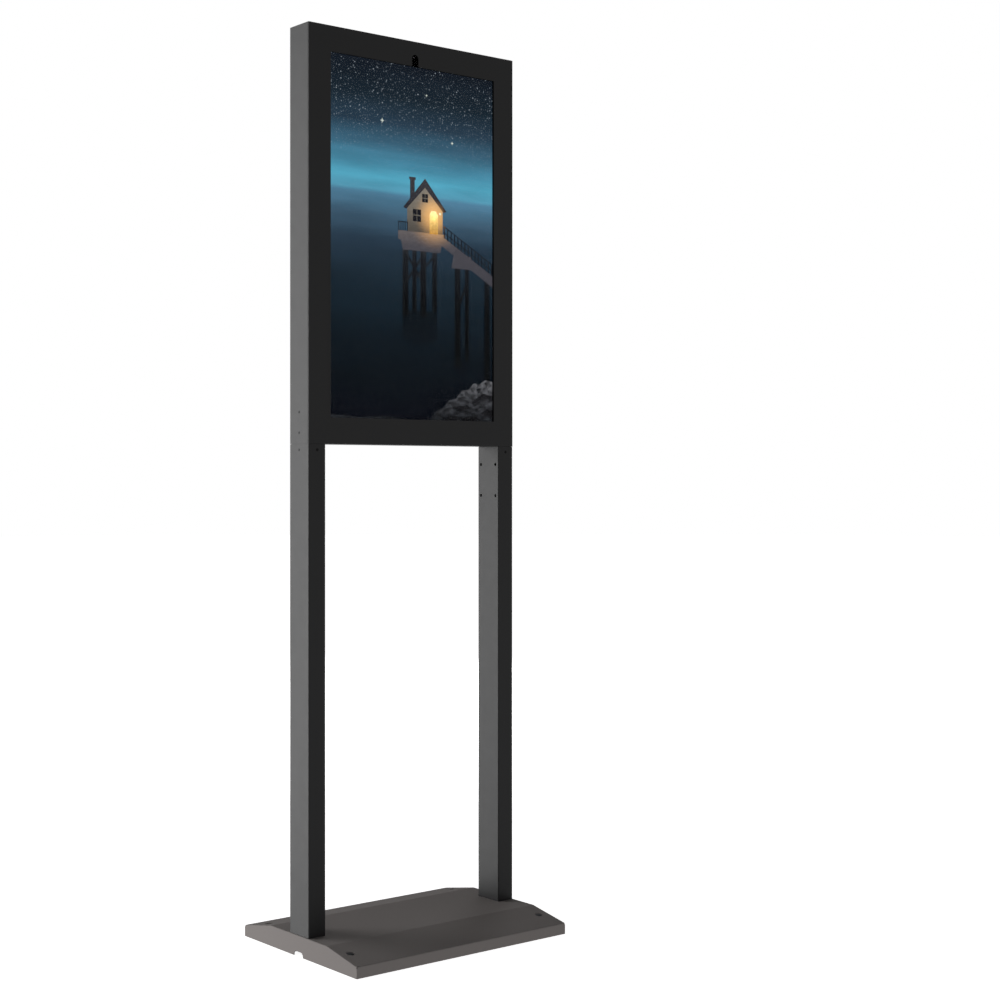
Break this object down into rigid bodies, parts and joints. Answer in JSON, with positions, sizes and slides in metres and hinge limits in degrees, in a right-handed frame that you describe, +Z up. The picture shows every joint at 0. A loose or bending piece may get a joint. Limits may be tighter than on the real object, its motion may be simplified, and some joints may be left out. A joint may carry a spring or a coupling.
{
  "type": "touchscreen kiosk",
  "caption": "Free-standing portrait display kiosk: slim steel cabinet with a glazed screen and a lockable rear door, on two box legs and a low ballasted base.",
  "frame": {"origin": "middle of the base's footprint, on the floor", "axes": "+X to the visitor's right when facing the screen, +Y to the back, +Z up"},
  "size_m": [0.491, 0.381, 1.73],
  "materials": {
    "cabinet_coat": "fine-textured dark grey powder coat",
    "base_coat": "fine-textured warm grey powder coat",
    "zinc_steel": "bright zinc-plated steel",
    "raw_steel": "oiled steel plate",
    "rubber": "matt black rubber",
    "glass": "clear toughened glass",
    "black_print": "black ceramic print",
    "foam_tape": "black foam tape",
    "display": "display cell",
    "diffuser": "opal diffuser sheets",
    "board": "green solder mask",
    "aluminium": "extruded aluminium",
    "black_plastic": "moulded black plastic",
    "lead_jacket": "black jacket",
    "ribbon": "flat ribbon",
    "chrome": "polished chrome",
    "dark_screws": "blackened steel"
  },
  "bodies": {
    "root": {"anchor_sleeves": "zinc_steel", "backlight_tray": "zinc_steel", "ballast_bolts": "zinc_steel", "ballast_spacers": "zinc_steel", "base_ballast": "raw_steel", "base_cover": "base_coat", "base_end_left": "base_coat", "base_end_right": "base_coat", "base_pads": "rubber", "board_connectors": "aluminium", "board_leads": "lead_jacket", "board_standoffs": "zinc_steel", "cable_grommets": "rubber", "diffuser_stack": "diffuser", "electronics_plate": "zinc_steel", "frame_bottom": "cabinet_coat", "frame_left": "cabinet_coat", "frame_right": "cabinet_coat", "frame_screws": "dark_screws", "frame_top": "cabinet_coat", "front_bezel": "cabinet_coat", "front_glass": "glass", "glass_border": "black_print", "glass_tape": "foam_tape", "heat_sink": "aluminium", "inlet_bracket": "zinc_steel", "inner_screws": "zinc_steel", "joiner_left": "cabinet_coat", "joiner_right": "cabinet_coat", "lcd_cell": "display", "lcd_front_frame": "zinc_steel", "led_strips": "board", "leg_bolts": "zinc_steel", "leg_feet": "raw_steel", "leg_left": "cabinet_coat", "leg_plates": "raw_steel", "leg_right": "cabinet_coat", "light_sensor": "board", "lock_keeper": "zinc_steel", "main_board": "board", "mains_lead": "lead_jacket", "panel_cable": "ribbon", "panel_rail_left": "zinc_steel", "panel_rail_right": "zinc_steel", "power_inlet": "black_plastic", "power_supply": "zinc_steel", "speaker_left": "black_plastic", "speaker_right": "black_plastic", "switch_housing": "black_plastic", "touch_cable": "ribbon", "touch_controller": "board", "touch_film": "glass"},
    "door": {"rear_door": "cabinet_coat", "hinge_pins": "zinc_steel", "lock_body": "chrome", "lock_nut": "zinc_steel"},
    "lock": {"lock_cylinder": "chrome", "lock_cam": "zinc_steel", "lock_screw": "zinc_steel"},
    "rocker": {"switch_rocker": "black_plastic"}
  },
  "joints": [
    {"name": "door_swing", "type": "hinge", "parent": "root", "child": "door", "pos_m": [0, 0.028, 0.9755], "axis": [-1, 0, 0], "range_deg": [0, 105]},
    {"name": "lock_turn", "type": "hinge", "parent": "door", "child": "lock", "pos_m": [0, 0.0167, 1.689], "axis": [0, -1, 0], "range_deg": [0, 90]},
    {"name": "rocker_switch", "type": "hinge", "parent": "root", "child": "rocker", "pos_m": [0.062, 0.013, 1.06], "axis": [0, 1, 0], "range_deg": [0, 16]}
  ]
}
